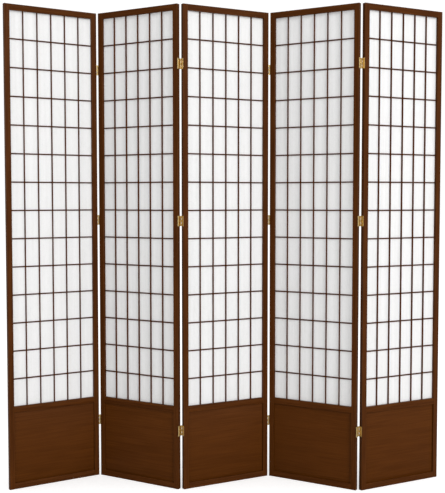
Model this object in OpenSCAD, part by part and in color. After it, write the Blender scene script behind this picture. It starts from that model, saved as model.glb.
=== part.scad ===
// Five-panel folding screen: tall wooden frames with a paper lattice above a solid
// kick board, joined side by side by double-action hinges so that it stands in a zigzag.
//
// Each piece is drawn in its panel's own frame: x from the panel's left edge to its
// right, y from its front face to its back, z up from the floor. on_panel() then stands
// the panel where the folds put it. Seen from the front, the panels run left to right.

/* [Panels] */
// Height of the screen
screen_h = 2134; // [1500:1:2300]
// Width of one panel
panel_w = 430; // [320:1:600]
// Thickness of a panel, front to back
panel_t = 19; // [16:0.5:28]
// Face width of a stile
stile_w = 23.4; // [18:0.1:45]
// Face height of the top, middle and bottom rails
rail_h = 26.4; // [18:0.1:60]
// Height of the middle rail's top edge
mid_rail_top = 370.6; // [200:0.1:700]

/* [Stance] */
// Turn of the first panel from the screen's run, in degrees
first_turn = 32; // [20:0.5:60]
// Angle that the first fold turns through, away from flat
fold_1 = 62; // [20:0.5:120]
// Angle that the second fold turns through, away from flat
fold_2 = 58; // [20:0.5:120]
// Angle that the third fold turns through, away from flat
fold_3 = 58; // [20:0.5:120]
// Angle that the fourth fold turns through, away from flat
fold_4 = 58; // [20:0.5:120]

/* [Lattice] */
// Upright bars across one panel
uprights = 5; // [2:1:7]
// Crossbars up one panel
crossbars = 13; // [4:1:16]
// Face width of an upright bar
upright_w = 4; // [3:0.1:10]
// Face height of a crossbar
crossbar_h = 5.4; // [3:0.1:10]
// Set-back of the uprights from the panel's front face
upright_back = 5.6; // [1:0.1:6]
// Set-back of the crossbars from the panel's front face
crossbar_back = 8.9; // [7:0.1:10]
// Set-back of the paper from the panel's front face
paper_back = 13.4; // [12:0.1:14]

/* [Paper and board] */
// Thickness of the paper
paper_t = 0.4; // [0.2:0.1:1]
// Width of the rebate that takes the paper's edge and the bar ends
rebate_w = 5; // [3:0.1:8]
// Strip of rebate left clear round the paper
paper_margin = 0.8; // [0.2:0.1:2]
// Thickness of the kick board
board_t = 6; // [4:0.1:7]
// Set-back of the kick board from the panel's front face
board_back = 7; // [4:0.1:8]
// Depth of the grooves that hold the kick board
groove_d = 6; // [3:0.1:8]

/* [Joinery] */
// Length of the rails' tenons
tenon_l = 14; // [8:0.5:16]
// Thickness of the rails' tenons, front to back
tenon_t = 7; // [5:0.1:10]
// Height of a shoulder cut above and below each tenon
tenon_shoulder = 4; // [2:0.1:8]
// Clearance of a tenon, bar end or board edge in its mortise
joint_gap = 0.1; // [0.05:0.01:0.3]
// Clearance of a crossbar in an upright's notch
lap_gap = 0.05; // [0.02:0.01:0.2]
// Clearance of a screw in its hole, all round
screw_gap = 0.05; // [0.02:0.01:0.1]

/* [Hinges] */
// Height of a hinge
hinge_h = 45; // [30:1:90]
// Height of the bottom hinges' centres
hinge_low = 262; // [150:1:400]
// Height of the middle hinges' centres
hinge_mid = 1193; // [700:1:1300]
// Distance of the top hinges' centres from the screen's top
hinge_down = 257; // [150:1:400]
// Gap between two panels that are opened flat
panel_gap = 8.4; // [7.6:0.1:12]
// Distance that a barrel's centre stands proud of the panels' faces
barrel_proud = 0.4; // [0.2:0.05:1]
// Outer radius of a hinge barrel
barrel_r = 2.6; // [2.2:0.05:3]
// Radius of a hinge pin
pin_r = 1.2; // [0.8:0.05:1.4]
// Running clearance of a pin in its barrel
pin_gap = 0.05; // [0.02:0.01:0.1]
// Gap between neighbouring knuckles
knuckle_gap = 0.3; // [0.2:0.05:0.6]
// Knuckles in one barrel
knuckles = 5; // [3:2:7]
// Thickness of a hinge's plates
leaf_t = 1.2; // [0.8:0.05:1.6]
// Strip of panel edge left bare beside a leaf
leaf_margin = 1; // [0.5:0.1:3]
// Screws in one leaf
leaf_screws = 3; // [2:1:4]
// Radius of a screw's shank
screw_r = 1.3; // [1:0.05:1.8]
// Radius of a screw's head
screw_head_r = 2.6; // [2:0.05:3.2]
// Brass left under a screw's head
head_floor = 0.2; // [0.1:0.05:0.3]
// Length of a screw
screw_l = 13; // [8:0.5:16]

/* [Hidden] */
$fn = 48;
eps = 0.01;
panels = 5;
folds = [fold_1, fold_2, fold_3, fold_4];
wood = "#4e2a10";
wood_bar = "#3e2412";
white = "#f2f0ea";
brass = "#b9965f";

// What each panel and each fold is made of
PANEL_PIECES = [
    "left_stile", "right_stile", "top_rail", "middle_rail", "bottom_rail",
    "kick_board", "lattice", "paper", "hinge_leaves", "hinge_screws"
];
FOLD_PIECES = ["links", "pins"];
function panel_node(k, piece) = str("panel_", k, "_", piece);
function fold_node(k, piece) = str("hinge_", k, "_", piece);

// Openings between the frame's inner edges
inner_w = panel_w - 2 * stile_w;
window_top = screen_h - rail_h;
window_h = window_top - mid_rail_top;
mid_rail_low = mid_rail_top - rail_h;
board_h = mid_rail_low - rail_h;

// Lattice: even panes across the window
pane_w = (inner_w - uprights * upright_w) / (uprights + 1);
pane_h = (window_h - crossbars * crossbar_h) / (crossbars + 1);
upright_x = [for (i = [1 : uprights]) stile_w + i * pane_w + (i - 1) * upright_w];
crossbar_z = [for (j = [1 : crossbars]) mid_rail_top + j * pane_h + (j - 1) * crossbar_h];

// Tenons stand midway between the faces
tenon_y = (panel_t - tenon_t) / 2;
tenon_h = rail_h - 2 * tenon_shoulder;

// Hinges
hinge_z = [hinge_low, hinge_mid, screen_h - hinge_down];
knuckle_h = (hinge_h - (knuckles - 1) * knuckle_gap) / knuckles;
barrel_front = -barrel_proud;
barrel_back = panel_t + barrel_proud;
bore_r = pin_r + pin_gap;
head_h = leaf_t - head_floor;
screw_pitch = hinge_h / leaf_screws;
screw_rise = [for (i = [0 : leaf_screws - 1]) (i - (leaf_screws - 1) / 2) * screw_pitch];
screw_z = [for (z = hinge_z, rise = screw_rise) z + rise];

// Stance: the folds turn the panels away from the front and back by turns
function turn(k) = k == 1 ? first_turn : turn(k - 1) + fold_sense(k - 1) * folds[k - 2];
// -1 where a fold's front faces close on each other, 1 where its back faces do
function fold_sense(k) = k % 2 == 1 ? -1 : 1;
function swing(a, p) = [p[0] * cos(a) - p[1] * sin(a), p[0] * sin(a) + p[1] * cos(a)];
function pivot_y(k) = k % 2 == 1 ? barrel_front : barrel_back;
function stand(k) = k == 1 ? [0, 0]
    : stand(k - 1) + swing(turn(k - 1), [panel_w + panel_gap / 2, pivot_y(k - 1)])
        - swing(turn(k), [-panel_gap / 2, pivot_y(k - 1)]);
function place(k, p) = stand(k) + swing(turn(k), p);

// Outermost points of the panels' corners and of the hinge barrels, for the centring
function reach(p, r) = [p - [r, r], p + [r, r]];
outline = concat(
    [for (k = [1 : panels], x = [0, panel_w], y = [0, panel_t]) each reach(place(k, [x, y]), 0)],
    [for (k = [1 : panels - 1], y = [barrel_front, barrel_back])
        each reach(place(link_side(k), [link_x(k), y]), barrel_r)]
);
centre = [for (i = [0, 1]) (min([for (p = outline) p[i]]) + max([for (p = outline) p[i]])) / 2];

// The link of an odd fold lies along the next panel's left edge, that of an even fold
// along its own panel's right edge
function link_side(k) = k % 2 == 1 ? k + 1 : k;
function link_x(k) = k % 2 == 1 ? -panel_gap / 2 : panel_w + panel_gap / 2;

module on_panel(k) {
    translate([stand(k)[0] - centre[0], stand(k)[1] - centre[1], 0])
        rotate([0, 0, turn(k)])
            children();
}

// Turns a thing drawn at a panel's right edge round to its left edge
module other_edge() {
    translate([panel_w, panel_t, 0]) rotate([0, 0, 180]) children();
}

// ---- Frame ----

// Mortises and slots that a stile is cut with, on the panel's left
module stile_cuts() {
    // paper rebate
    translate([stile_w - rebate_w, paper_back, mid_rail_top - rebate_w])
        cube([rebate_w + eps, panel_t, window_h + 2 * rebate_w]);
    // slots for the crossbars' ends, open to the rebate
    for (z = crossbar_z)
        translate([stile_w - rebate_w, crossbar_back - joint_gap, z - joint_gap])
            cube([rebate_w + eps, panel_t, crossbar_h + 2 * joint_gap]);
    // groove for the kick board
    translate([stile_w - groove_d, board_back - joint_gap, rail_h - groove_d])
        cube([groove_d + eps, board_t + 2 * joint_gap, board_h + 2 * groove_d]);
    // mortises for the rails' tenons
    for (z = [0, mid_rail_low, window_top])
        translate([stile_w - tenon_l - joint_gap, tenon_y - joint_gap, z + tenon_shoulder - joint_gap])
            cube([
                tenon_l + joint_gap + eps,
                tenon_t + 2 * joint_gap,
                tenon_h + 2 * joint_gap
            ]);
}

// Pilot holes for the hinge screws, in the panel's left edge
module pilot_holes() {
    for (z = screw_z)
        translate([-eps, panel_t / 2, z])
            rotate([0, 90, 0])
                cylinder(r = screw_r + screw_gap, h = screw_l - leaf_t + screw_gap);
}

module stile(hinged) {
    difference() {
        cube([stile_w, panel_t, screen_h]);
        stile_cuts();
        if (hinged) pilot_holes();
    }
}

module left_stile(k) {
    color(wood) on_panel(k) stile(hinged = k > 1);
}

// The mirror image of a left stile
module right_stile(k) {
    color(wood) on_panel(k)
        translate([panel_w, 0, 0]) mirror([1, 0, 0]) stile(hinged = k < panels);
}

// A rail with its two tenons, standing on the floor
module rail() {
    translate([stile_w, 0, 0]) cube([inner_w, panel_t, rail_h]);
    translate([stile_w - tenon_l, tenon_y, tenon_shoulder])
        cube([inner_w + 2 * tenon_l, tenon_t, tenon_h]);
}

// Rebate and slots for the paper and the uprights, cut from z = 0 upwards
module window_edge_cuts() {
    translate([stile_w - tenon_l - eps, paper_back, 0])
        cube([inner_w + 2 * tenon_l + 2 * eps, panel_t, rebate_w]);
    for (x = upright_x)
        translate([x - joint_gap, upright_back - joint_gap, 0])
            cube([upright_w + 2 * joint_gap, panel_t, rebate_w]);
}

// Groove for the kick board's edge, cut from z = 0 upwards
module board_groove() {
    translate([stile_w - tenon_l - eps, board_back - joint_gap, 0])
        cube([inner_w + 2 * tenon_l + 2 * eps, board_t + 2 * joint_gap, groove_d]);
}

module top_rail(k) {
    color(wood) on_panel(k) difference() {
        translate([0, 0, window_top]) rail();
        translate([0, 0, window_top - eps]) window_edge_cuts();
    }
}

module middle_rail(k) {
    color(wood) on_panel(k) difference() {
        translate([0, 0, mid_rail_low]) rail();
        translate([0, 0, mid_rail_top - rebate_w + eps]) window_edge_cuts();
        translate([0, 0, mid_rail_low - eps]) board_groove();
    }
}

module bottom_rail(k) {
    color(wood) on_panel(k) difference() {
        rail();
        translate([0, 0, rail_h - groove_d + eps]) board_groove();
    }
}

module kick_board(k) {
    color(wood) on_panel(k)
        translate([
            stile_w - groove_d + joint_gap,
            board_back,
            rail_h - groove_d + joint_gap
        ])
            cube([
                inner_w + 2 * (groove_d - joint_gap),
                board_t,
                board_h + 2 * (groove_d - joint_gap)
            ]);
}

// ---- Lattice and paper ----

// An upright, notched at its back for every crossbar
module upright(x) {
    difference() {
        translate([x, upright_back, mid_rail_top - rebate_w + joint_gap])
            cube([
                upright_w,
                paper_back - upright_back,
                window_h + 2 * (rebate_w - joint_gap)
            ]);
        for (z = crossbar_z)
            translate([x - eps, crossbar_back - lap_gap, z - lap_gap])
                cube([upright_w + 2 * eps, panel_t, crossbar_h + 2 * lap_gap]);
    }
}

// A crossbar, let into the stiles' rebates at both ends
module crossbar(z) {
    translate([stile_w - rebate_w + joint_gap, crossbar_back, z])
        cube([inner_w + 2 * (rebate_w - joint_gap), paper_back - crossbar_back, crossbar_h]);
}

module lattice(k) {
    color(wood_bar) on_panel(k) {
        for (x = upright_x) upright(x);
        for (z = crossbar_z) crossbar(z);
    }
}

module paper(k) {
    edge = rebate_w - paper_margin;
    color(white) on_panel(k)
        translate([stile_w - edge, paper_back, mid_rail_top - edge])
            cube([inner_w + 2 * edge, paper_t, window_h + 2 * edge]);
}

// ---- Hinges ----

// Foot of knuckle i, counted up from a hinge's foot
function knuckle_z(i) = -hinge_h / 2 + i * (knuckle_h + knuckle_gap);

// A screw head's cone, its face level with a leaf's, with extra radius for its seat
module head_cone(extra = 0) {
    translate([leaf_t - head_h, 0, 0])
        rotate([0, 90, 0])
            cylinder(r1 = screw_r + extra, r2 = screw_head_r + extra, h = head_h);
}

// One leaf on a right edge at x = 0, its knuckles on the barrel at the front
module leaf() {
    difference() {
        union() {
            translate([0, leaf_margin, -hinge_h / 2])
                cube([leaf_t, panel_t - 2 * leaf_margin, hinge_h]);
            for (i = [0 : 2 : knuckles - 1])
                translate([0, 0, knuckle_z(i)]) {
                    cube([panel_gap / 2, leaf_t, knuckle_h]);
                    cube([leaf_t, leaf_margin + eps, knuckle_h]);
                    translate([panel_gap / 2, barrel_front, 0])
                        cylinder(r = barrel_r, h = knuckle_h);
                }
        }
        translate([panel_gap / 2, barrel_front, -hinge_h])
            cylinder(r = bore_r, h = 2 * hinge_h);
        for (rise = screw_rise)
            translate([0, panel_t / 2, rise]) {
                translate([-eps, 0, 0])
                    rotate([0, 90, 0]) cylinder(r = screw_r + screw_gap, h = leaf_t);
                translate([eps, 0, 0]) head_cone(screw_gap);
            }
    }
}

// The leaves on a panel: knuckled at the front on its right edge, at the back on its left
module hinge_leaves(k) {
    color(brass) on_panel(k) for (z = hinge_z) {
        if (k < panels) translate([panel_w, 0, z]) leaf();
        if (k > 1) other_edge() translate([panel_w, 0, z]) leaf();
    }
}

// A countersunk screw driven into a right edge at x = 0, with a cross in its head
module screw() {
    slot_w = screw_head_r / 4;
    slot_d = head_h * 0.6;
    difference() {
        union() {
            translate([leaf_t - screw_l, 0, 0])
                rotate([0, 90, 0]) cylinder(r = screw_r, h = screw_l - head_h + eps);
            head_cone();
        }
        for (a = [0, 90])
            translate([leaf_t - slot_d, 0, 0])
                rotate([a, 0, 0])
                    translate([0, -slot_w / 2, -screw_head_r * 0.6])
                        cube([screw_head_r, slot_w, screw_head_r * 1.2]);
    }
}

module hinge_screws(k) {
    color(brass) on_panel(k) for (z = screw_z) {
        if (k < panels) translate([panel_w, panel_t / 2, z]) screw();
        if (k > 1) translate([0, panel_t / 2, z]) mirror([1, 0, 0]) screw();
    }
}

// The plate between a fold's two barrels, with the knuckles that the leaves leave free
module link() {
    barrels = [barrel_front, barrel_back];
    difference() {
        union() {
            translate([-leaf_t / 2, barrel_front + barrel_r + knuckle_gap, -hinge_h / 2])
                cube([leaf_t, barrel_back - barrel_front - 2 * (barrel_r + knuckle_gap), hinge_h]);
            for (i = [1 : 2 : knuckles - 2])
                translate([0, 0, knuckle_z(i)]) {
                    translate([-leaf_t / 2, barrel_front, 0])
                        cube([leaf_t, barrel_back - barrel_front, knuckle_h]);
                    for (y = barrels) translate([0, y, 0]) cylinder(r = barrel_r, h = knuckle_h);
                }
        }
        for (y = barrels)
            translate([0, y, -hinge_h]) cylinder(r = bore_r, h = 2 * hinge_h);
    }
}

module hinge_links(k) {
    color(brass) on_panel(link_side(k))
        for (z = hinge_z) translate([link_x(k), 0, z]) link();
}

module hinge_pins(k) {
    color(brass) on_panel(link_side(k))
        for (z = hinge_z, y = [barrel_front, barrel_back])
            translate([link_x(k), y, z - hinge_h / 2]) cylinder(r = pin_r, h = hinge_h);
}

for (k = [1 : panels]) {
    left_stile(k);
    right_stile(k);
    top_rail(k);
    middle_rail(k);
    bottom_rail(k);
    kick_board(k);
    lattice(k);
    paper(k);
    hinge_leaves(k);
    hinge_screws(k);
}
for (k = [1 : panels - 1]) {
    hinge_links(k);
    hinge_pins(k);
}
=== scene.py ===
"""Looks of a five-panel folding screen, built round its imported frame.

Every wooden and brass piece is a copy of its CAD node with its arrises eased. The paper
is a stretched sheet behind the lattice. Each piece rides on the body that its CAD node
rides on.
"""

import logging
import math
from dataclasses import dataclass
from enum import Enum

import bmesh
import bpy
import numpy as np
from mathutils import Matrix, Vector


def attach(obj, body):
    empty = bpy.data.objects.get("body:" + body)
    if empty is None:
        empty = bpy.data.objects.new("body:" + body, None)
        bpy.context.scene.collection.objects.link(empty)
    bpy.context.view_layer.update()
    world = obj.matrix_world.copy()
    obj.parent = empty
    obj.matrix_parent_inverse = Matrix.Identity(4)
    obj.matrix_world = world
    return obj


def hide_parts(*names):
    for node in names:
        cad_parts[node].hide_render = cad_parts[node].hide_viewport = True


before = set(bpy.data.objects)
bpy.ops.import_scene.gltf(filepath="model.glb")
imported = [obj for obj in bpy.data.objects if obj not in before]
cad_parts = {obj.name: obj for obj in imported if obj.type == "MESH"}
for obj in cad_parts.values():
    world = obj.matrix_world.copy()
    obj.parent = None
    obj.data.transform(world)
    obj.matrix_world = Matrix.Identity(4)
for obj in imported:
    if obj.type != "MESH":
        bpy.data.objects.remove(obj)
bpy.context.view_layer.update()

LOG = logging.getLogger("folding_screen")
PANELS = 5
MM = 0.001
SEED = 23

Triple = tuple[float, float, float]
Pair = tuple[float, float]


# ---- Node trees ----


@dataclass(frozen=True)
class Noise:
    """One noise pattern: how its space is stretched, and its own settings."""

    stretch: Triple = (1.0, 1.0, 1.0)
    scale: float = 1.0
    detail: float = 2.0
    rough: float = 0.5
    twist: float = 0.0


class Bench:
    """Adds nodes to one node tree and wires them."""

    def __init__(self, tree: bpy.types.NodeTree) -> None:
        """Take the tree to work on."""
        self.tree = tree

    def add(self, kind: str, feeds: dict | None = None, **settings) -> bpy.types.Node:
        """Add a node.

        Args:
            kind: The node's type, such as "ShaderNodeMath".
            feeds: What goes into each input, by name or number: a socket or a value.
            settings: The node's own settings.

        Returns:
            The new node.
        """
        node = self.tree.nodes.new(kind)
        for name, value in settings.items():
            setattr(node, name, value)
        for key, value in (feeds or {}).items():
            self.feed(node.inputs[key], value)
        return node

    def feed(self, socket: bpy.types.NodeSocket, value: object) -> None:
        """Link a socket, or set a plain value, into an input.

        Args:
            socket: The input.
            value: The output socket that is linked, or the value that is set.
        """
        if isinstance(value, bpy.types.NodeSocket):
            self.tree.links.new(value, socket)
        elif isinstance(value, tuple) and socket.type == "RGBA" and len(value) == 3:
            socket.default_value = (*value, 1.0)
        else:
            socket.default_value = value

    def math(
        self, operation: str, *terms: object, clamp: bool = False
    ) -> bpy.types.NodeSocket:
        """Do arithmetic on values.

        Args:
            operation: Which arithmetic.
            terms: The values or sockets that it works on.
            clamp: Whether to keep the result from 0 to 1.

        Returns:
            The result.
        """
        feeds = dict(enumerate(terms))
        node = self.add("ShaderNodeMath", feeds, operation=operation, use_clamp=clamp)
        return node.outputs[0]

    def vector(self, operation: str, *terms: object) -> bpy.types.NodeSocket:
        """Do arithmetic on vectors.

        Args:
            operation: Which arithmetic.
            terms: The vectors or sockets that it works on.

        Returns:
            The resulting vector.
        """
        feeds = dict(enumerate(terms))
        node = self.add("ShaderNodeVectorMath", feeds, operation=operation)
        return node.outputs["Vector"]

    def step(
        self, value: bpy.types.NodeSocket, span: Pair, out: Pair = (0.0, 1.0)
    ) -> bpy.types.NodeSocket:
        """Map a value smoothly from one range to another.

        Args:
            value: The value to map.
            span: The range that it is taken from.
            out: What the two ends of that range become.

        Returns:
            The mapped value.
        """
        feeds = {"Value": value, "From Min": span[0], "From Max": span[1]}
        feeds |= {"To Min": out[0], "To Max": out[1]}
        node = self.add("ShaderNodeMapRange", feeds, interpolation_type="SMOOTHSTEP")
        return node.outputs["Result"]

    def mix(self, share: object, first: object, second: object) -> bpy.types.NodeSocket:
        """Mix two colours.

        Args:
            share: The second colour's share, from 0 to 1.
            first: The first colour.
            second: The second colour.

        Returns:
            The mixed colour.
        """
        node = self.add("ShaderNodeMix", data_type="RGBA")
        self.feed(node.inputs["Factor"], share)
        for name, value in (("A", first), ("B", second)):
            fits = (s for s in node.inputs if s.name == name and s.type == "RGBA")
            self.feed(next(fits), value)
        return next(s for s in node.outputs if s.type == "RGBA")

    def noise(
        self,
        place: bpy.types.NodeSocket,
        kind: Noise,
        scale: bpy.types.NodeSocket | None = None,
    ) -> bpy.types.NodeSocket:
        """Add a noise texture.

        Args:
            place: The coordinates that it reads.
            kind: Its stretch and settings.
            scale: A socket that sets its scale, in place of its own.

        Returns:
            Its value, from 0 to 1.
        """
        if kind.stretch != Noise().stretch:
            place = self.vector("MULTIPLY", place, kind.stretch)
        feeds = {"Vector": place, "Scale": kind.scale if scale is None else scale}
        feeds |= {"Detail": kind.detail, "Roughness": kind.rough, "Distortion": kind.twist}
        return self.add("ShaderNodeTexNoise", feeds).outputs["Fac"]

    def attribute(self, name: str) -> bpy.types.NodeSocket:
        """Read a vector that is stored on the mesh."""
        return self.add("ShaderNodeAttribute", attribute_name=name).outputs["Vector"]


# ---- Shared effects ----


class Effect(Enum):
    """The shader groups that several finishes share."""

    FIGURE = "wood_figure"
    RUB = "edge_rub"
    CLOUD = "slow_cloud"


# Each effect's inputs with their values (None for a vector), and its outputs
EFFECT_SOCKETS = {
    Effect.FIGURE: ({"Grain": None, "Streak Scale": 1.0}, ("Tone", "Pores", "Height")),
    Effect.RUB: ({"Place": None, "Half": None, "Width": 0.002}, ("Mask",)),
    Effect.CLOUD: ({"Place": None, "Scale": 4.0}, ("Tone", "Height")),
}

# Wood, with x along the grain in metres
WOOD_BANDS = Noise((1.4, 22.0, 22.0), 1.6, 3.0, 0.55, 0.9)
WOOD_STREAKS = Noise((7.0, 420.0, 420.0), detail=3.0)
WOOD_PORES = Noise((60.0, 1500.0, 1500.0), detail=1.0)
BAND_SHARE, STREAK_SHARE = 0.3, 0.7
TONE_SPAN = (0.34, 0.66)
PORE_SPAN = (0.62, 0.74)
STREAK_RISE, PORE_DROP = 0.35, 0.5

# How ragged the rubbed edges are
RUB_RAGGED = Noise(scale=160.0, detail=3.0)
RUB_SPAN, RUB_REACH = (0.3, 0.7), (0.15, 1.0)

# Cloudiness of hand-applied finishes
CLOUD_SLOW = Noise(detail=3.0, twist=0.4)
CLOUD_SPECK = Noise(scale=24.0)
CLOUD_SPAN = (0.3, 0.7)
CLOUD_RISE, SPECK_RISE = 0.7, 0.3


class Effects:
    """Builds each shared shader group once and hands it out."""

    def __init__(self) -> None:
        """Start with no group built."""
        self.built: dict[Effect, bpy.types.NodeTree] = {}

    def place(self, bench: Bench, effect: Effect, feeds: dict) -> bpy.types.NodeOutputs:
        """Put an effect's group in a material.

        Args:
            bench: The material's bench.
            effect: Which effect.
            feeds: What goes into the group's inputs.

        Returns:
            The outputs of the group node.
        """
        if effect not in self.built:
            self.built[effect] = self._build(effect)
        node = bench.add("ShaderNodeGroup", node_tree=self.built[effect])
        for key, value in feeds.items():
            bench.feed(node.inputs[key], value)
        return node.outputs

    def _build(self, effect: Effect) -> bpy.types.NodeTree:
        """Make the group's tree with its sockets, and fill it.

        Args:
            effect: Which effect.

        Returns:
            The group's tree.
        """
        tree = bpy.data.node_groups.new(effect.value, "ShaderNodeTree")
        takes, gives = EFFECT_SOCKETS[effect]
        for name, value in takes.items():
            kind = "NodeSocketVector" if value is None else "NodeSocketFloat"
            socket = tree.interface.new_socket(name, in_out="INPUT", socket_type=kind)
            if value is not None:
                socket.default_value = value
        for name in gives:
            tree.interface.new_socket(name, in_out="OUTPUT", socket_type="NodeSocketFloat")
        bench = Bench(tree)
        source = bench.add("NodeGroupInput").outputs
        fill = {
            Effect.FIGURE: self._figure,
            Effect.RUB: self._rub,
            Effect.CLOUD: self._cloud,
        }[effect]
        bench.add("NodeGroupOutput", dict(zip(gives, fill(bench, source))))
        return tree

    @staticmethod
    def _figure(bench: Bench, source: bpy.types.NodeOutputs) -> tuple:
        """Wood figure: long wandering bands, fine streaks and open pores along the grain.

        Args:
            bench: The group's bench.
            source: The group's inputs.

        Returns:
            The sockets that feed the group's outputs, in their order.
        """
        grain = source["Grain"]
        bands = bench.noise(grain, WOOD_BANDS)
        streaks = bench.noise(grain, WOOD_STREAKS, source["Streak Scale"])
        pores = bench.step(bench.noise(grain, WOOD_PORES), PORE_SPAN)
        banded = bench.math("MULTIPLY", bands, BAND_SHARE)
        streaked = bench.math("MULTIPLY", streaks, STREAK_SHARE)
        tone = bench.step(bench.math("ADD", banded, streaked), TONE_SPAN)
        rise = bench.math("MULTIPLY", streaks, STREAK_RISE)
        height = bench.math("SUBTRACT", rise, bench.math("MULTIPLY", pores, PORE_DROP))
        return tone, pores, height

    @staticmethod
    def _rub(bench: Bench, source: bpy.types.NodeOutputs) -> tuple:
        """Edge rub: 1 along a piece's arrises, 0 a rub's width inside them.

        Args:
            bench: The group's bench.
            source: The group's inputs.

        Returns:
            The sockets that feed the group's outputs, in their order.
        """
        place = bench.vector("ABSOLUTE", source["Place"])
        inset = bench.vector("SUBTRACT", source["Half"], place)
        split = bench.add("ShaderNodeSeparateXYZ", {0: inset}).outputs
        low = bench.math("MINIMUM", split[0], split[1])
        high = bench.math("MAXIMUM", split[0], split[1])
        # the middle one of the three insets is the distance from an arris
        middle = bench.math("MAXIMUM", low, bench.math("MINIMUM", high, split[2]))
        ragged = bench.step(bench.noise(source["Place"], RUB_RAGGED), RUB_SPAN, RUB_REACH)
        share = bench.math("DIVIDE", middle, bench.math("MULTIPLY", source["Width"], ragged))
        return (bench.math("SUBTRACT", 1.0, share, clamp=True),)

    @staticmethod
    def _cloud(bench: Bench, source: bpy.types.NodeOutputs) -> tuple:
        """Slow cloudy change over a surface, as hand-applied finishes have.

        Args:
            bench: The group's bench.
            source: The group's inputs.

        Returns:
            The sockets that feed the group's outputs, in their order.
        """
        node = bench.add("ShaderNodeVectorMath", {0: source["Place"]}, operation="SCALE")
        bench.feed(node.inputs["Scale"], source["Scale"])
        scaled = node.outputs["Vector"]
        cloud = bench.noise(scaled, CLOUD_SLOW)
        slow = bench.math("MULTIPLY", cloud, CLOUD_RISE)
        speck = bench.math("MULTIPLY", bench.noise(scaled, CLOUD_SPECK), SPECK_RISE)
        return bench.step(cloud, CLOUD_SPAN), bench.math("ADD", slow, speck)


EFFECTS = Effects()


# ---- Finishes ----


def start_material(name: str) -> tuple[bpy.types.Material, Bench, bpy.types.Node]:
    """Make an empty node material.

    Args:
        name: The material's name.

    Returns:
        The material, its bench and its output node.
    """
    material = bpy.data.materials.new(name)
    material.use_nodes = True
    material.node_tree.nodes.clear()
    bench = Bench(material.node_tree)
    return material, bench, bench.add("ShaderNodeOutputMaterial")


def rub_mask(bench: Bench, width: float) -> bpy.types.NodeSocket:
    """Place the edge rub on a piece's own stored places.

    Args:
        bench: The material's bench.
        width: How far in from an arris the rub reaches.

    Returns:
        The rub's mask.
    """
    feeds = {
        "Place": bench.attribute("place"),
        "Half": bench.attribute("half"),
        "Width": width,
    }
    return EFFECTS.place(bench, Effect.RUB, feeds)["Mask"]


@dataclass(frozen=True)
class StainedWood:
    """Dark walnut stain under a thin satin lacquer."""

    name: str
    slot: str
    light: Triple
    dark: Triple
    rubbed: Triple
    rub_width: float = 1.6 * MM
    rub_share: float = 0.35
    streak_scale: float = 1.0
    cloud_scale: float = 5.0
    cloud_share: float = 0.22
    pore_share: float = 0.6
    roughness: Pair = (0.42, 0.56)
    cloud_roughness: float = 0.05
    specular: float = 0.06
    relief: float = 0.12
    relief_depth: float = 0.4 * MM
    # painted shade on the level bars: its share, its colour, and the half-heights over which
    # it fades out
    level_bar_shade_share: float = 0.0
    level_bar_shade_colour: Triple = (0.006, 0.004, 0.0025)
    level_bar_shade_span: Pair = (0.01, 0.1)

    def make(self) -> bpy.types.Material:
        """Build the finish's material.

        Returns:
            The material.
        """
        material, bench, output = start_material(self.name)
        grain = bench.attribute("grain")
        feeds = {"Grain": grain, "Streak Scale": self.streak_scale}
        figure = EFFECTS.place(bench, Effect.FIGURE, feeds)
        feeds = {"Place": grain, "Scale": self.cloud_scale}
        cloud = EFFECTS.place(bench, Effect.CLOUD, feeds)["Tone"]
        span = self.roughness[::-1]
        gloss = bench.step(figure["Tone"], (0.0, 1.0), span)
        gloss = bench.math("ADD", gloss, bench.math("MULTIPLY", cloud, self.cloud_roughness))
        feeds = {"Height": figure["Height"], "Distance": self.relief_depth}
        bump = bench.add("ShaderNodeBump", feeds | {"Strength": self.relief})
        shader = bench.add(
            "ShaderNodeBsdfPrincipled",
            {
                "Base Color": self._stain(bench, figure, cloud),
                "Roughness": gloss,
                "Specular IOR Level": self.specular,
                "Normal": bump.outputs["Normal"],
            },
        )
        bench.feed(output.inputs["Surface"], shader.outputs[0])
        return material

    def _stain(
        self, bench: Bench, figure: bpy.types.NodeOutputs, cloud: bpy.types.NodeSocket
    ) -> bpy.types.NodeSocket:
        """Colour the wood, with painted shade on the level bars where asked.

        Args:
            bench: The material's bench.
            figure: The outputs of the wood figure.
            cloud: The slow cloud's tone.

        Returns:
            The colour.
        """
        stain = bench.mix(figure["Tone"], self.dark, self.light)
        shade = bench.step(cloud, (0.0, 1.0), (0.0, self.cloud_share))
        stain = bench.mix(shade, stain, self.dark)
        pores = bench.math("MULTIPLY", figure["Pores"], self.pore_share)
        stain = bench.mix(pores, stain, self.dark)
        rub = bench.math("MULTIPLY", rub_mask(bench, self.rub_width), self.rub_share)
        stain = bench.mix(rub, stain, self.rubbed)
        if self.level_bar_shade_share:
            # bars that lie level sit deeper than the upright ones, and get painted shade:
            # their colour is darkened towards a near black
            half = bench.add("ShaderNodeSeparateXYZ", {0: bench.attribute("half")}).outputs
            level_shade = bench.step(half["Z"], self.level_bar_shade_span, (self.level_bar_shade_share, 0.0))
            stain = bench.mix(level_shade, stain, self.level_bar_shade_colour)
        return stain


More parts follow.
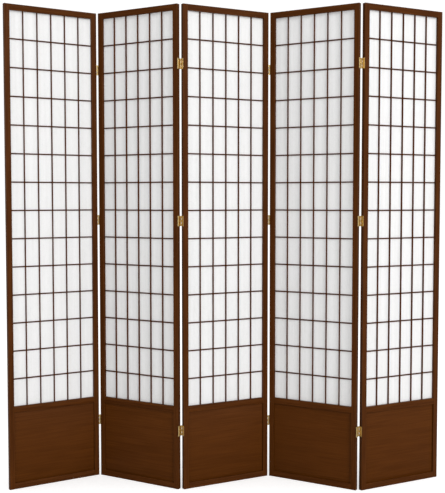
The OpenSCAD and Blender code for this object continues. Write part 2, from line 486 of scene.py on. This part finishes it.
@dataclass(frozen=True)
class Brass:
    """Plain brass, a little tarnished, with brighter rubbed edges."""

    name: str
    slot: str
    bright: Triple
    dull: Triple
    roughness: Pair = (0.24, 0.4)
    dull_share: float = 0.6
    cloud_scale: float = 90.0
    rub_width: float = 0.9 * MM
    rub_share: float = 0.8
    brushing: Noise = Noise((90.0, 2600.0, 2600.0))
    brush_depth: float = 0.04 * MM
    brush_strength: float = 0.35

    def make(self) -> bpy.types.Material:
        """Build the finish's material.

        Returns:
            The material.
        """
        material, bench, output = start_material(self.name)
        grain = bench.attribute("grain")
        feeds = {"Place": grain, "Scale": self.cloud_scale}
        cloud = EFFECTS.place(bench, Effect.CLOUD, feeds)["Tone"]
        rub = bench.math("MULTIPLY", rub_mask(bench, self.rub_width), self.rub_share)
        tone = bench.math("SUBTRACT", cloud, rub, clamp=True)
        tone = bench.math("MULTIPLY", tone, self.dull_share)
        feeds = {"Height": bench.noise(grain, self.brushing), "Distance": self.brush_depth}
        bump = bench.add("ShaderNodeBump", feeds | {"Strength": self.brush_strength})
        shader = bench.add(
            "ShaderNodeBsdfPrincipled",
            {
                "Base Color": bench.mix(tone, self.bright, self.dull),
                "Metallic": 1.0,
                "Roughness": bench.step(cloud, (0.0, 1.0), self.roughness),
                "Normal": bump.outputs["Normal"],
            },
        )
        bench.feed(output.inputs["Surface"], shader.outputs[0])
        return material


@dataclass(frozen=True)
class Strand:
    """Fibres that lie along the middle level of a noise pattern."""

    path: Noise
    width: float


@dataclass(frozen=True)
class FibrePaper:
    """White paper of long fibres that lets some light through."""

    name: str
    slot: str
    white: Triple
    fibre: Triple
    strands: tuple[Strand, ...] = (
        Strand(Noise((3.2, 9.0, 9.0), 3.0, 4.0, 0.55, 0.8), 0.012),
        Strand(Noise((26.0, 14.0, 14.0), 2.2, 4.0, 0.55, 0.8), 0.01),
        Strand(Noise((3.2, 9.0, 9.0), 9.0, 4.0, 0.55, 0.8), 0.02),
    )
    laid: Noise = Noise((1.5, 60.0, 60.0), detail=3.0)
    pulp: Noise = Noise(scale=420.0, detail=3.0)
    laid_span: Pair = (0.35, 0.65)
    laid_share: float = 0.26
    strand_share: float = 0.3
    strand_rise: float = 0.7
    pulp_rise: float = 0.5
    relief: float = 0.25
    relief_depth: float = 0.2 * MM
    roughness: float = 0.85
    specular: float = 0.15
    through: float = 0.5
    spread: float = 2.0 * MM

    def make(self) -> bpy.types.Material:
        """Build the finish's material.

        Returns:
            The material.
        """
        material, bench, output = start_material(self.name)
        grain = bench.attribute("grain")
        threads = self._threads(bench, grain)
        laid = bench.step(bench.noise(grain, self.laid), self.laid_span)
        laid = bench.math("MULTIPLY", laid, self.laid_share)
        tone = bench.math("ADD", laid, bench.math("MULTIPLY", threads, self.strand_share))
        rise = bench.math("MULTIPLY", threads, self.strand_rise)
        pulp = bench.math("MULTIPLY", bench.noise(grain, self.pulp), self.pulp_rise)
        feeds = {"Height": bench.math("ADD", rise, pulp), "Distance": self.relief_depth}
        bump = bench.add("ShaderNodeBump", feeds | {"Strength": self.relief})
        shader = bench.add(
            "ShaderNodeBsdfPrincipled",
            {
                "Base Color": bench.mix(tone, self.white, self.fibre),
                "Roughness": self.roughness,
                "Specular IOR Level": self.specular,
                "Subsurface Weight": self.through,
                "Subsurface Radius": (1.0, 1.0, 1.0),
                "Subsurface Scale": self.spread,
                "Normal": bump.outputs["Normal"],
            },
        )
        bench.feed(output.inputs["Surface"], shader.outputs[0])
        return material

    def _threads(self, bench: Bench, grain: bpy.types.NodeSocket) -> bpy.types.NodeSocket:
        """Lay every set of fibres over the others.

        Args:
            bench: The material's bench.
            grain: The coordinates along the sheet's length.

        Returns:
            The fibres' mask.
        """
        lines = []
        for strand in self.strands:
            wander = bench.noise(grain, strand.path)
            off_line = bench.math("ABSOLUTE", bench.math("SUBTRACT", wander, 0.5))
            lines.append(bench.step(off_line, (0.0, strand.width), (1.0, 0.0)))
        threads = lines[0]
        for line in lines[1:]:
            threads = bench.math("MAXIMUM", threads, line)
        return threads


FRAME_WOOD = StainedWood(
    name="frame_walnut_stain",
    slot="frame_wood",
    light=(0.094, 0.0262, 0.0026),
    dark=(0.051, 0.0126, 0.0006),
    rubbed=(0.18, 0.077, 0.02),
)
BOARD_WOOD = StainedWood(
    name="board_walnut_stain",
    slot="board_wood",
    light=(0.096, 0.0268, 0.0024),
    dark=(0.0665, 0.0174, 0.0008),
    rubbed=(0.147, 0.062, 0.015),
    streak_scale=0.8,
)
LATTICE_WOOD = StainedWood(
    name="lattice_walnut_stain",
    slot="lattice_wood",
    light=(0.087, 0.0206, 0.0017),
    dark=(0.0565, 0.0129, 0.0007),
    rubbed=(0.147, 0.051, 0.012),
    # the level bars get painted shade, as they sit deeper than the upright ones
    level_bar_shade_share=0.22,
    rub_width=0.7 * MM,
    relief=0.08,
)
HINGE_BRASS = Brass(
    name="hinge_brass_plate",
    slot="hinge_brass",
    bright=(0.726, 0.539, 0.242),
    dull=(0.374, 0.264, 0.105),
)
SCREW_BRASS = Brass(
    name="screw_brass_bright",
    slot="screw_brass",
    bright=(0.946, 0.759, 0.418),
    dull=(0.605, 0.451, 0.22),
    roughness=(0.16, 0.28),
)
PAPER = FibrePaper(
    name="white_fibre_paper",
    slot="paper",
    white=(0.842, 0.84, 0.836),
    fibre=(0.713, 0.711, 0.698),
)


# ---- Meshes ----

JOIN_GAP = 0.002 * MM
FLAT_ANGLE = math.radians(0.4)
ARRIS_ANGLE = math.radians(50)
SMOOTH_ANGLE = math.radians(20)
GRAIN_REACH = 9.0


@dataclass(frozen=True)
class Stand:
    """Where one panel stands.

    Its own frame has x from its left edge, y from its front face and z from the floor.
    """

    turn: float
    origin: Vector

    @classmethod
    def read(cls, panel: int) -> "Stand":
        """Find a panel's stand from its CAD nodes.

        Args:
            panel: The panel's number, from 1 at the left.

        Returns:
            The panel's stand.
        """
        bm = merged_copy(f"panel_{panel}_paper")
        runs = [e.verts[1].co - e.verts[0].co for e in bm.edges]
        run = max((r for r in runs if abs(r.z) < MM), key=lambda r: r.length)
        turn = math.atan(run.y / run.x)
        bm.free()
        stile = merged_copy(f"panel_{panel}_left_stile")
        stile.transform(Matrix.Rotation(-turn, 4, "Z"))
        low = [min(v.co[axis] for v in stile.verts) for axis in range(3)]
        stile.free()
        return cls(turn, Vector(low))

    @property
    def out(self) -> Matrix:
        """The turn and shift from the panel's own frame to the row frame."""
        return Matrix.Rotation(self.turn, 4, "Z") @ Matrix.Translation(self.origin)

    @property
    def into(self) -> Matrix:
        """The turn and shift from the row frame to the panel's own frame."""
        return self.out.inverted()


def merged_copy(node: str) -> bmesh.types.BMesh:
    """Copy a CAD node's mesh and join its loose triangles into flat faces.

    Args:
        node: The CAD node's name.

    Returns:
        The copy. Whoever asks for it frees it.
    """
    bm = bmesh.new()
    bm.from_mesh(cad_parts[node].data)
    bmesh.ops.remove_doubles(bm, verts=bm.verts, dist=JOIN_GAP)
    bmesh.ops.dissolve_limit(
        bm,
        angle_limit=FLAT_ANGLE,
        use_dissolve_boundaries=False,
        verts=bm.verts,
        edges=bm.edges,
    )
    return bm


def islands(bm: bmesh.types.BMesh) -> list[list[bmesh.types.BMVert]]:
    """Sort a mesh's vertices into its separate solids, in a steady order.

    Args:
        bm: The mesh, with its vertices' indices up to date.

    Returns:
        The vertices of each solid.
    """
    left = {v.index: v for v in bm.verts}
    found = []
    while left:
        start = left.pop(min(left))
        group, rim = [start], [start]
        while rim:
            vert = rim.pop()
            for edge in vert.link_edges:
                other = edge.other_vert(vert)
                if other.index in left:
                    left.pop(other.index)
                    group.append(other)
                    rim.append(other)
        found.append(group)
    return found


def ease(bm: bmesh.types.BMesh, width: float, shortest: float, segments: int) -> None:
    """Round off a mesh's long outer arrises.

    Args:
        bm: The mesh, in metres.
        width: How far back from an arris the rounding starts.
        shortest: Edges shorter than this stay sharp.
        segments: Flats in each rounding.
    """
    arrises = [
        edge
        for edge in bm.edges
        if edge.is_manifold
        and edge.is_convex
        and edge.calc_face_angle(0.0) > ARRIS_ANGLE
        and edge.calc_length() > shortest
    ]
    bmesh.ops.bevel(
        bm,
        geom=arrises,
        offset=width,
        offset_type="OFFSET",
        affect="EDGES",
        segments=segments,
        profile=0.5,
        material=-1,
        clamp_overlap=True,
    )


def store_places(
    mesh: bpy.types.Mesh, groups: np.ndarray, points: np.ndarray, seed: int
) -> None:
    """Store on a mesh where each point lies in its own stick or plate.

    Args:
        mesh: The mesh that takes the attributes.
        groups: The solid that each point belongs to.
        points: The points, square to the pieces, in metres.
        seed: Sets the figure that each solid is cut from.
    """
    dice = np.random.default_rng(seed)
    grain, place, half = (np.zeros_like(points) for _ in range(3))
    for group in range(int(groups.max()) + 1):
        rows = groups == group
        low, high = points[rows].min(0), points[rows].max(0)
        length = int(np.argmax(high - low))
        order = [length] + [axis for axis in range(3) if axis != length]
        place[rows] = points[rows] - (low + high) / 2
        half[rows] = (high - low) / 2
        grain[rows] = place[rows][:, order] + dice.uniform(-GRAIN_REACH, GRAIN_REACH, 3)
    for name, values in (("grain", grain), ("place", place), ("half", half)):
        attribute = mesh.attributes.new(name, "FLOAT_VECTOR", "POINT")
        attribute.data.foreach_set("vector", values.astype(np.float32).ravel())


def finish_piece(
    name: str,
    bm: bmesh.types.BMesh,
    out: Matrix,
    finish: StainedWood | Brass | FibrePaper,
    seed: int,
) -> bpy.types.Object:
    """Turn a bmesh in a panel's own frame into a dressed object at the origin.

    Args:
        name: The new piece's name.
        bm: Its mesh. It is freed here.
        out: The turn and shift to the row frame.
        finish: What it is finished with.
        seed: Sets its figure.

    Returns:
        The new piece.
    """
    bm.verts.index_update()
    groups = np.zeros(len(bm.verts), int)
    for number, group in enumerate(islands(bm)):
        groups[[v.index for v in group]] = number
    points = np.array([v.co[:] for v in bm.verts])
    bm.transform(out)
    mesh = bpy.data.meshes.new(name)
    bm.to_mesh(mesh)
    bm.free()
    store_places(mesh, groups, points, seed)
    mesh.polygons.foreach_set("use_smooth", [True] * len(mesh.polygons))
    mesh.set_sharp_from_angle(angle=SMOOTH_ANGLE)
    mesh.materials.append(MATERIALS[finish])
    piece = bpy.data.objects.new(name, mesh)
    bpy.context.scene.collection.objects.link(piece)
    return piece


# ---- Sub-assemblies ----


class Part(Enum):
    """The pieces of a panel that are eased copies of their CAD nodes."""

    LEFT_STILE = "left_stile"
    RIGHT_STILE = "right_stile"
    TOP_RAIL = "top_rail"
    MIDDLE_RAIL = "middle_rail"
    BOTTOM_RAIL = "bottom_rail"
    KICK_BOARD = "kick_board"
    LATTICE = "lattice"
    LEAVES = "hinge_leaves"
    SCREWS = "hinge_screws"


@dataclass(frozen=True)
class Easing:
    """How a piece's arrises are rounded off, and its finish.

    A width of 0 leaves them sharp.
    """

    finish: StainedWood | Brass
    width: float = 0.0
    shortest: float = 0.0
    segments: int = 2


FRAME_EASING = Easing(FRAME_WOOD, 0.8 * MM, 15 * MM)
PLATE_EASING = Easing(HINGE_BRASS, 0.18 * MM, 3 * MM, 1)
PIN_EASING = Easing(HINGE_BRASS, 0.2 * MM, 0.01 * MM, 1)
EASINGS = {
    Part.LEFT_STILE: FRAME_EASING,
    Part.RIGHT_STILE: FRAME_EASING,
    Part.TOP_RAIL: FRAME_EASING,
    Part.MIDDLE_RAIL: FRAME_EASING,
    Part.BOTTOM_RAIL: FRAME_EASING,
    Part.KICK_BOARD: Easing(BOARD_WOOD, 0.4 * MM, 15 * MM),
    Part.LATTICE: Easing(LATTICE_WOOD, 0.4 * MM, 15 * MM, 1),
    Part.LEAVES: PLATE_EASING,
    Part.SCREWS: Easing(SCREW_BRASS),
}


def eased_piece(
    node: str, body: str, easing: Easing, stand: Stand, seed: int
) -> bpy.types.Object:
    """Stand an eased copy in a CAD node's place.

    Args:
        node: The CAD node that the copy stands for.
        body: The body it rides on.
        easing: Its rounding and finish.
        stand: The panel that it is square to.
        seed: Sets its figure.

    Returns:
        The new piece.
    """
    bm = merged_copy(node)
    bm.transform(stand.into)
    if easing.width > 0:
        ease(bm, easing.width, easing.shortest, easing.segments)
    piece = finish_piece(f"{node}_look", bm, stand.out, easing.finish, seed)
    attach(piece, body)
    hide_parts(node)
    return piece


@dataclass
class PaperSheet:
    """A sheet of paper stretched behind the lattice, its panes a little slack."""

    panel: int
    stand: Stand
    panes_across: int = 6
    panes_up: int = 14
    cuts_across: int = 8
    cuts_up: int = 10
    slack: float = 0.45 * MM
    slack_shape: float = 0.8

    def build(self) -> bpy.types.Object:
        """Returns:
            The sheet's piece.
        """
        node = f"panel_{self.panel}_paper"
        low, high = self._corners(node)
        size = high - low
        bm = bmesh.new()
        bmesh.ops.create_grid(
            bm,
            x_segments=self.panes_across * self.cuts_across,
            y_segments=self.panes_up * self.cuts_up,
            size=0.5,
            matrix=Matrix.Rotation(math.radians(90), 4, "X"),
        )
        bmesh.ops.scale(bm, vec=(size.x, 1.0, size.z), verts=bm.verts)
        bmesh.ops.translate(bm, vec=(low + high) / 2, verts=bm.verts)
        for vert in bm.verts:
            vert.co.y = low.y + self._sag(vert.co, low, size)
        flat = bm.faces[:]
        bmesh.ops.recalc_face_normals(bm, faces=flat)
        bmesh.ops.solidify(bm, geom=flat, thickness=-size.y)
        bmesh.ops.recalc_face_normals(bm, faces=bm.faces)
        front = min(v.co.y for v in bm.verts)
        bmesh.ops.translate(bm, vec=(0.0, low.y - front, 0.0), verts=bm.verts)
        seed = 100 * SEED + self.panel
        piece = finish_piece(f"{node}_look", bm, self.stand.out, PAPER, seed)
        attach(piece, f"panel_{self.panel}")
        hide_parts(node)
        return piece

    def _corners(self, node: str) -> tuple[Vector, Vector]:
        """Measure the CAD sheet in its panel's own frame.

        Args:
            node: The sheet's CAD node.

        Returns:
            Its low and high corners.
        """
        bm = merged_copy(node)
        bm.transform(self.stand.into)
        spans = [sorted(vert.co[axis] for vert in bm.verts) for axis in range(3)]
        bm.free()
        return Vector([span[0] for span in spans]), Vector([span[-1] for span in spans])

    def _sag(self, point: Vector, low: Vector, size: Vector) -> float:
        """Work out how far the paper hangs back from the bars.

        Args:
            point: A point on the sheet.
            low: The sheet's low corner.
            size: The sheet's size.

        Returns:
            The distance, in metres.
        """
        across = math.sin(math.pi * self.panes_across * (point.x - low.x) / size.x)
        up = math.sin(math.pi * self.panes_up * (point.z - low.z) / size.z)
        return self.slack * abs(across * up) ** self.slack_shape


@dataclass
class Panel:
    """One panel: its frame, board, lattice, paper and the leaves screwed to its edges."""

    number: int

    def build(self) -> list[bpy.types.Object]:
        """Make every piece of the panel.

        Returns:
            The pieces.
        """
        stand = Stand.read(self.number)
        body = f"panel_{self.number}"
        made = []
        for place, part in enumerate(Part):
            node = f"{body}_{part.value}"
            seed = SEED + 20 * self.number + place
            made.append(eased_piece(node, body, EASINGS[part], stand, seed))
        made.append(PaperSheet(self.number, stand).build())
        return made


@dataclass
class Fold:
    """The links and pins between two panels."""

    number: int

    def build(self) -> list[bpy.types.Object]:
        """Make the fold's links and pins, square to the panel that the links lie along.

        Returns:
            The pieces.
        """
        odd = self.number % 2 == 1
        stand = Stand.read(self.number + 1 if odd else self.number)
        body = f"link_{self.number}"
        seed = SEED + 200 + self.number
        return [
            eased_piece(f"hinge_{self.number}_{kind}", body, easing, stand, seed)
            for kind, easing in (("links", PLATE_EASING), ("pins", PIN_EASING))
        ]


# ---- Studio ----


@dataclass
class Studio:
    """The floor, the soft light and the camera."""

    lens: float = 66.11
    sensor: float = 36.0
    camera_place: Triple = (-0.01104, -4.07059, 1.29295)
    camera_pitch: float = -3.0535
    camera_yaw: float = 0.155
    floor_half: float = 40.0
    floor_tone: Triple = (0.86, 0.86, 0.86)
    floor_lift: float = 0.47
    ambient: Triple = (0.77, 0.77, 0.77)
    backdrop: Triple = (1.05, 1.05, 1.05)
    key_power: float = 1010.0
    key_size: float = 5.4
    key_place: Triple = (8.6, -11.2, 7.4)
    key_aim: Triple = (0.0, 0.0, 1.0)

    def build(self) -> None:
        """Set up everything round the object."""
        self._camera()
        self._floor()
        self._world()
        self._key()
        view = bpy.context.scene.view_settings
        view.view_transform, view.look = "Standard", "None"
        view.exposure, view.gamma = 0.0, 1.0

    def _camera(self) -> None:
        """Stand the camera in front, a little above the middle."""
        data = bpy.data.cameras.new("camera")
        data.sensor_fit = "VERTICAL"
        data.sensor_height, data.lens = self.sensor, self.lens
        camera = bpy.data.objects.new("camera", data)
        camera.location = self.camera_place
        camera.rotation_euler = (
            math.radians(90 + self.camera_pitch),
            0.0,
            math.radians(self.camera_yaw),
        )
        bpy.context.scene.collection.objects.link(camera)
        bpy.context.scene.camera = camera

    def _floor(self) -> None:
        """Lay a plain pale floor that shows nearly white and takes soft shadows."""
        bm = bmesh.new()
        bmesh.ops.create_grid(bm, x_segments=1, y_segments=1, size=self.floor_half)
        mesh = bpy.data.meshes.new("floor")
        bm.to_mesh(mesh)
        bm.free()
        floor = bpy.data.objects.new("floor", mesh)
        bpy.context.scene.collection.objects.link(floor)
        material, bench, output = start_material("pale_floor")
        diffuse = bench.add("ShaderNodeBsdfDiffuse", {"Color": self.floor_tone})
        lift = bench.add("ShaderNodeEmission", {"Color": (1.0, 1.0, 1.0)})
        seen = bench.add("ShaderNodeLightPath").outputs["Is Camera Ray"]
        bench.feed(lift.inputs["Strength"], bench.math("MULTIPLY", seen, self.floor_lift))
        both = bench.add("ShaderNodeAddShader", {0: diffuse.outputs[0], 1: lift.outputs[0]})
        bench.feed(output.inputs["Surface"], both.outputs[0])
        mesh.materials.append(material)

    def _world(self) -> None:
        """Light the room evenly, white where it is looked at."""
        world = bpy.data.worlds.new("room")
        world.use_nodes = True
        world.node_tree.nodes.clear()
        bench = Bench(world.node_tree)
        seen = bench.add("ShaderNodeLightPath").outputs["Is Camera Ray"]
        colour = bench.mix(seen, self.ambient, self.backdrop)
        background = bench.add("ShaderNodeBackground", {"Color": colour})
        bench.add("ShaderNodeOutputWorld", {"Surface": background.outputs[0]})
        bpy.context.scene.world = world

    def _key(self) -> None:
        """Hang the soft key light, to the right of the camera."""
        data = bpy.data.lights.new("key", "AREA")
        data.shape, data.size, data.energy = "SQUARE", self.key_size, self.key_power
        key = bpy.data.objects.new("key", data)
        key.location = self.key_place
        aim = Vector(self.key_aim) - Vector(self.key_place)
        key.rotation_euler = aim.to_track_quat("-Z", "Y").to_euler()
        bpy.context.scene.collection.objects.link(key)


MATERIALS = {
    finish: finish.make()
    for finish in (FRAME_WOOD, BOARD_WOOD, LATTICE_WOOD, HINGE_BRASS, SCREW_BRASS, PAPER)
}


def main() -> None:
    """Build the screen and its studio."""
    logging.basicConfig(level=logging.INFO, format="%(message)s")
    Studio().build()
    assemblies = [Panel(number) for number in range(1, PANELS + 1)]
    assemblies += [Fold(number) for number in range(1, PANELS)]
    for assembly in assemblies:
        for piece in assembly.build():
            LOG.info("%s: %d faces", piece.name, len(piece.data.polygons))


if __name__ == "__main__":
    main()
